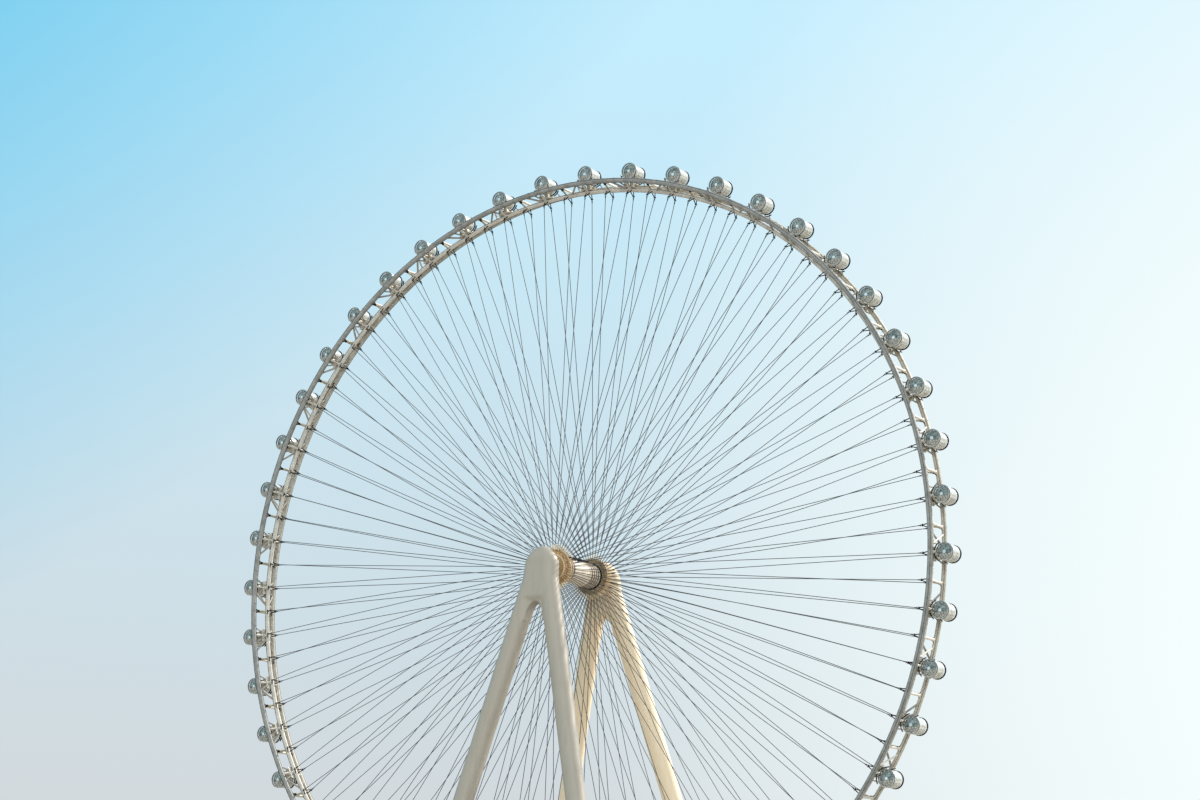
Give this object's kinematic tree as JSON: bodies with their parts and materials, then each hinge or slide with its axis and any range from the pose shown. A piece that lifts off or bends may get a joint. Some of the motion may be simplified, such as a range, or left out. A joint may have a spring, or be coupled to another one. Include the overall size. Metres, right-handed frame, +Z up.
{
  "type": "ferris wheel scale model, 1:10",
  "caption": "Giant cable-stayed observation wheel on two leaning A-frames, with level capsules outside a triangular tube rim; 1:10 scale model.",
  "frame": {"origin": "on the ground, below the middle of the axle", "axes": "+Z up; +Y along the axle, away from the front of the wheel; +X to the right seen from the front"},
  "size_m": [24.485, 7.98, 24.9425],
  "materials": {
    "rim": "satin grey-beige paint, faded",
    "cables": "dark sheathed locked-coil cable",
    "hub": "satin tan paint",
    "spindle": "machined, greased",
    "frame": "smooth warm cream paint",
    "capsule": "silver shell with dark glazed ends"
  },
  "bodies": {
    "root": {"spindle": "spindle", "near_head": "frame", "far_head": "frame", "near_left_leg": "frame", "near_right_leg": "frame", "far_left_leg": "frame", "far_right_leg": "frame"},
    "wheel": {"rim": "rim", "near_flange_and_cables": "cables", "far_flange_and_cables": "cables", "hub_drum": "hub"},
    "capsule_01": {"capsule_01": "capsule"},
    "capsule_02": {"capsule_02": "capsule"},
    "capsule_03": {"capsule_03": "capsule"},
    "capsule_04": {"capsule_04": "capsule"},
    "capsule_05": {"capsule_05": "capsule"},
    "capsule_06": {"capsule_06": "capsule"},
    "capsule_07": {"capsule_07": "capsule"},
    "capsule_08": {"capsule_08": "capsule"},
    "capsule_09": {"capsule_09": "capsule"},
    "capsule_10": {"capsule_10": "capsule"},
    "capsule_11": {"capsule_11": "capsule"},
    "capsule_12": {"capsule_12": "capsule"},
    "capsule_13": {"capsule_13": "capsule"},
    "capsule_14": {"capsule_14": "capsule"},
    "capsule_15": {"capsule_15": "capsule"},
    "capsule_16": {"capsule_16": "capsule"},
    "capsule_17": {"capsule_17": "capsule"},
    "capsule_18": {"capsule_18": "capsule"},
    "capsule_19": {"capsule_19": "capsule"},
    "capsule_20": {"capsule_20": "capsule"},
    "capsule_21": {"capsule_21": "capsule"},
    "capsule_22": {"capsule_22": "capsule"},
    "capsule_23": {"capsule_23": "capsule"},
    "capsule_24": {"capsule_24": "capsule"},
    "capsule_25": {"capsule_25": "capsule"},
    "capsule_26": {"capsule_26": "capsule"},
    "capsule_27": {"capsule_27": "capsule"},
    "capsule_28": {"capsule_28": "capsule"},
    "capsule_29": {"capsule_29": "capsule"},
    "capsule_30": {"capsule_30": "capsule"},
    "capsule_31": {"capsule_31": "capsule"},
    "capsule_32": {"capsule_32": "capsule"},
    "capsule_33": {"capsule_33": "capsule"},
    "capsule_34": {"capsule_34": "capsule"},
    "capsule_35": {"capsule_35": "capsule"},
    "capsule_36": {"capsule_36": "capsule"},
    "capsule_37": {"capsule_37": "capsule"},
    "capsule_38": {"capsule_38": "capsule"},
    "capsule_39": {"capsule_39": "capsule"},
    "capsule_40": {"capsule_40": "capsule"},
    "capsule_41": {"capsule_41": "capsule"},
    "capsule_42": {"capsule_42": "capsule"},
    "capsule_43": {"capsule_43": "capsule"},
    "capsule_44": {"capsule_44": "capsule"},
    "capsule_45": {"capsule_45": "capsule"},
    "capsule_46": {"capsule_46": "capsule"},
    "capsule_47": {"capsule_47": "capsule"},
    "capsule_48": {"capsule_48": "capsule"}
  },
  "joints": [
    {"name": "wheel_spin", "type": "hinge", "parent": "root", "child": "wheel", "pos_m": [0, 0, 12.7], "axis": [0, 1, 0], "continuous": true},
    {"name": "capsule_01_level", "type": "hinge", "parent": "wheel", "child": "capsule_01", "pos_m": [-10.59537, 0, 7.06634], "axis": [0, 1, 0], "continuous": true},
    {"name": "capsule_02_level", "type": "hinge", "parent": "wheel", "child": "capsule_02", "pos_m": [-11.24007, 0, 8.49751], "axis": [0, 1, 0], "continuous": true},
    {"name": "capsule_03_level", "type": "hinge", "parent": "wheel", "child": "capsule_03", "pos_m": [-11.69244, 0, 10.00059], "axis": [0, 1, 0], "continuous": true},
    {"name": "capsule_04_level", "type": "hinge", "parent": "wheel", "child": "capsule_04", "pos_m": [-11.94475, 0, 11.54985], "axis": [0, 1, 0], "continuous": true},
    {"name": "capsule_05_level", "type": "hinge", "parent": "wheel", "child": "capsule_05", "pos_m": [-11.99269, 0, 13.11879], "axis": [0, 1, 0], "continuous": true},
    {"name": "capsule_06_level", "type": "hinge", "parent": "wheel", "child": "capsule_06", "pos_m": [-11.83543, 0, 14.68057], "axis": [0, 1, 0], "continuous": true},
    {"name": "capsule_07_level", "type": "hinge", "parent": "wheel", "child": "capsule_07", "pos_m": [-11.47566, 0, 16.20846], "axis": [0, 1, 0], "continuous": true},
    {"name": "capsule_08_level", "type": "hinge", "parent": "wheel", "child": "capsule_08", "pos_m": [-10.91953, 0, 17.67632], "axis": [0, 1, 0], "continuous": true},
    {"name": "capsule_09_level", "type": "hinge", "parent": "wheel", "child": "capsule_09", "pos_m": [-10.17658, 0, 19.05903], "axis": [0, 1, 0], "continuous": true},
    {"name": "capsule_10_level", "type": "hinge", "parent": "wheel", "child": "capsule_10", "pos_m": [-9.25949, 0, 20.33294], "axis": [0, 1, 0], "continuous": true},
    {"name": "capsule_11_level", "type": "hinge", "parent": "wheel", "child": "capsule_11", "pos_m": [-8.18398, 0, 21.47624], "axis": [0, 1, 0], "continuous": true},
    {"name": "capsule_12_level", "type": "hinge", "parent": "wheel", "child": "capsule_12", "pos_m": [-6.96844, 0, 22.46939], "axis": [0, 1, 0], "continuous": true},
    {"name": "capsule_13_level", "type": "hinge", "parent": "wheel", "child": "capsule_13", "pos_m": [-5.63366, 0, 23.29537], "axis": [0, 1, 0], "continuous": true},
    {"name": "capsule_14_level", "type": "hinge", "parent": "wheel", "child": "capsule_14", "pos_m": [-4.20249, 0, 23.94007], "axis": [0, 1, 0], "continuous": true},
    {"name": "capsule_15_level", "type": "hinge", "parent": "wheel", "child": "capsule_15", "pos_m": [-2.69941, 0, 24.39244], "axis": [0, 1, 0], "continuous": true},
    {"name": "capsule_16_level", "type": "hinge", "parent": "wheel", "child": "capsule_16", "pos_m": [-1.15015, 0, 24.64475], "axis": [0, 1, 0], "continuous": true},
    {"name": "capsule_17_level", "type": "hinge", "parent": "wheel", "child": "capsule_17", "pos_m": [0.41879, 0, 24.69269], "axis": [0, 1, 0], "continuous": true},
    {"name": "capsule_18_level", "type": "hinge", "parent": "wheel", "child": "capsule_18", "pos_m": [1.98057, 0, 24.53543], "axis": [0, 1, 0], "continuous": true},
    {"name": "capsule_19_level", "type": "hinge", "parent": "wheel", "child": "capsule_19", "pos_m": [3.50846, 0, 24.17566], "axis": [0, 1, 0], "continuous": true},
    {"name": "capsule_20_level", "type": "hinge", "parent": "wheel", "child": "capsule_20", "pos_m": [4.97632, 0, 23.61953], "axis": [0, 1, 0], "continuous": true},
    {"name": "capsule_21_level", "type": "hinge", "parent": "wheel", "child": "capsule_21", "pos_m": [6.35903, 0, 22.87658], "axis": [0, 1, 0], "continuous": true},
    {"name": "capsule_22_level", "type": "hinge", "parent": "wheel", "child": "capsule_22", "pos_m": [7.63294, 0, 21.9595], "axis": [0, 1, 0], "continuous": true},
    {"name": "capsule_23_level", "type": "hinge", "parent": "wheel", "child": "capsule_23", "pos_m": [8.77624, 0, 20.88398], "axis": [0, 1, 0], "continuous": true},
    {"name": "capsule_24_level", "type": "hinge", "parent": "wheel", "child": "capsule_24", "pos_m": [9.76939, 0, 19.66843], "axis": [0, 1, 0], "continuous": true},
    {"name": "capsule_25_level", "type": "hinge", "parent": "wheel", "child": "capsule_25", "pos_m": [10.59537, 0, 18.33366], "axis": [0, 1, 0], "continuous": true},
    {"name": "capsule_26_level", "type": "hinge", "parent": "wheel", "child": "capsule_26", "pos_m": [11.24007, 0, 16.90249], "axis": [0, 1, 0], "continuous": true},
    {"name": "capsule_27_level", "type": "hinge", "parent": "wheel", "child": "capsule_27", "pos_m": [11.69244, 0, 15.39941], "axis": [0, 1, 0], "continuous": true},
    {"name": "capsule_28_level", "type": "hinge", "parent": "wheel", "child": "capsule_28", "pos_m": [11.94475, 0, 13.85015], "axis": [0, 1, 0], "continuous": true},
    {"name": "capsule_29_level", "type": "hinge", "parent": "wheel", "child": "capsule_29", "pos_m": [11.99269, 0, 12.28121], "axis": [0, 1, 0], "continuous": true},
    {"name": "capsule_30_level", "type": "hinge", "parent": "wheel", "child": "capsule_30", "pos_m": [11.83543, 0, 10.71943], "axis": [0, 1, 0], "continuous": true},
    {"name": "capsule_31_level", "type": "hinge", "parent": "wheel", "child": "capsule_31", "pos_m": [11.47566, 0, 9.19154], "axis": [0, 1, 0], "continuous": true},
    {"name": "capsule_32_level", "type": "hinge", "parent": "wheel", "child": "capsule_32", "pos_m": [10.91953, 0, 7.72368], "axis": [0, 1, 0], "continuous": true},
    {"name": "capsule_33_level", "type": "hinge", "parent": "wheel", "child": "capsule_33", "pos_m": [10.17658, 0, 6.34097], "axis": [0, 1, 0], "continuous": true},
    {"name": "capsule_34_level", "type": "hinge", "parent": "wheel", "child": "capsule_34", "pos_m": [9.25949, 0, 5.06706], "axis": [0, 1, 0], "continuous": true},
    {"name": "capsule_35_level", "type": "hinge", "parent": "wheel", "child": "capsule_35", "pos_m": [8.18398, 0, 3.92376], "axis": [0, 1, 0], "continuous": true},
    {"name": "capsule_36_level", "type": "hinge", "parent": "wheel", "child": "capsule_36", "pos_m": [6.96844, 0, 2.93061], "axis": [0, 1, 0], "continuous": true},
    {"name": "capsule_37_level", "type": "hinge", "parent": "wheel", "child": "capsule_37", "pos_m": [5.63366, 0, 2.10463], "axis": [0, 1, 0], "continuous": true},
    {"name": "capsule_38_level", "type": "hinge", "parent": "wheel", "child": "capsule_38", "pos_m": [4.20249, 0, 1.45993], "axis": [0, 1, 0], "continuous": true},
    {"name": "capsule_39_level", "type": "hinge", "parent": "wheel", "child": "capsule_39", "pos_m": [2.69941, 0, 1.00756], "axis": [0, 1, 0], "continuous": true},
    {"name": "capsule_40_level", "type": "hinge", "parent": "wheel", "child": "capsule_40", "pos_m": [1.15015, 0, 0.75525], "axis": [0, 1, 0], "continuous": true},
    {"name": "capsule_41_level", "type": "hinge", "parent": "wheel", "child": "capsule_41", "pos_m": [-0.41879, 0, 0.70731], "axis": [0, 1, 0], "continuous": true},
    {"name": "capsule_42_level", "type": "hinge", "parent": "wheel", "child": "capsule_42", "pos_m": [-1.98057, 0, 0.86457], "axis": [0, 1, 0], "continuous": true},
    {"name": "capsule_43_level", "type": "hinge", "parent": "wheel", "child": "capsule_43", "pos_m": [-3.50846, 0, 1.22434], "axis": [0, 1, 0], "continuous": true},
    {"name": "capsule_44_level", "type": "hinge", "parent": "wheel", "child": "capsule_44", "pos_m": [-4.97632, 0, 1.78046], "axis": [0, 1, 0], "continuous": true},
    {"name": "capsule_45_level", "type": "hinge", "parent": "wheel", "child": "capsule_45", "pos_m": [-6.35903, 0, 2.52342], "axis": [0, 1, 0], "continuous": true},
    {"name": "capsule_46_level", "type": "hinge", "parent": "wheel", "child": "capsule_46", "pos_m": [-7.63294, 0, 3.4405], "axis": [0, 1, 0], "continuous": true},
    {"name": "capsule_47_level", "type": "hinge", "parent": "wheel", "child": "capsule_47", "pos_m": [-8.77624, 0, 4.51602], "axis": [0, 1, 0], "continuous": true},
    {"name": "capsule_48_level", "type": "hinge", "parent": "wheel", "child": "capsule_48", "pos_m": [-9.76939, 0, 5.73156], "axis": [0, 1, 0], "continuous": true}
  ],
  "couplings": [
    {"joint": "capsule_01_level", "follows": "wheel_spin", "ratio": -1},
    {"joint": "capsule_02_level", "follows": "wheel_spin", "ratio": -1},
    {"joint": "capsule_03_level", "follows": "wheel_spin", "ratio": -1},
    {"joint": "capsule_04_level", "follows": "wheel_spin", "ratio": -1},
    {"joint": "capsule_05_level", "follows": "wheel_spin", "ratio": -1},
    {"joint": "capsule_06_level", "follows": "wheel_spin", "ratio": -1},
    {"joint": "capsule_07_level", "follows": "wheel_spin", "ratio": -1},
    {"joint": "capsule_08_level", "follows": "wheel_spin", "ratio": -1},
    {"joint": "capsule_09_level", "follows": "wheel_spin", "ratio": -1},
    {"joint": "capsule_10_level", "follows": "wheel_spin", "ratio": -1},
    {"joint": "capsule_11_level", "follows": "wheel_spin", "ratio": -1},
    {"joint": "capsule_12_level", "follows": "wheel_spin", "ratio": -1},
    {"joint": "capsule_13_level", "follows": "wheel_spin", "ratio": -1},
    {"joint": "capsule_14_level", "follows": "wheel_spin", "ratio": -1},
    {"joint": "capsule_15_level", "follows": "wheel_spin", "ratio": -1},
    {"joint": "capsule_16_level", "follows": "wheel_spin", "ratio": -1},
    {"joint": "capsule_17_level", "follows": "wheel_spin", "ratio": -1},
    {"joint": "capsule_18_level", "follows": "wheel_spin", "ratio": -1},
    {"joint": "capsule_19_level", "follows": "wheel_spin", "ratio": -1},
    {"joint": "capsule_20_level", "follows": "wheel_spin", "ratio": -1},
    {"joint": "capsule_21_level", "follows": "wheel_spin", "ratio": -1},
    {"joint": "capsule_22_level", "follows": "wheel_spin", "ratio": -1},
    {"joint": "capsule_23_level", "follows": "wheel_spin", "ratio": -1},
    {"joint": "capsule_24_level", "follows": "wheel_spin", "ratio": -1},
    {"joint": "capsule_25_level", "follows": "wheel_spin", "ratio": -1},
    {"joint": "capsule_26_level", "follows": "wheel_spin", "ratio": -1},
    {"joint": "capsule_27_level", "follows": "wheel_spin", "ratio": -1},
    {"joint": "capsule_28_level", "follows": "wheel_spin", "ratio": -1},
    {"joint": "capsule_29_level", "follows": "wheel_spin", "ratio": -1},
    {"joint": "capsule_30_level", "follows": "wheel_spin", "ratio": -1},
    {"joint": "capsule_31_level", "follows": "wheel_spin", "ratio": -1},
    {"joint": "capsule_32_level", "follows": "wheel_spin", "ratio": -1},
    {"joint": "capsule_33_level", "follows": "wheel_spin", "ratio": -1},
    {"joint": "capsule_34_level", "follows": "wheel_spin", "ratio": -1},
    {"joint": "capsule_35_level", "follows": "wheel_spin", "ratio": -1},
    {"joint": "capsule_36_level", "follows": "wheel_spin", "ratio": -1},
    {"joint": "capsule_37_level", "follows": "wheel_spin", "ratio": -1},
    {"joint": "capsule_38_level", "follows": "wheel_spin", "ratio": -1},
    {"joint": "capsule_39_level", "follows": "wheel_spin", "ratio": -1},
    {"joint": "capsule_40_level", "follows": "wheel_spin", "ratio": -1},
    {"joint": "capsule_41_level", "follows": "wheel_spin", "ratio": -1},
    {"joint": "capsule_42_level", "follows": "wheel_spin", "ratio": -1},
    {"joint": "capsule_43_level", "follows": "wheel_spin", "ratio": -1},
    {"joint": "capsule_44_level", "follows": "wheel_spin", "ratio": -1},
    {"joint": "capsule_45_level", "follows": "wheel_spin", "ratio": -1},
    {"joint": "capsule_46_level", "follows": "wheel_spin", "ratio": -1},
    {"joint": "capsule_47_level", "follows": "wheel_spin", "ratio": -1},
    {"joint": "capsule_48_level", "follows": "wheel_spin", "ratio": -1}
  ]
}
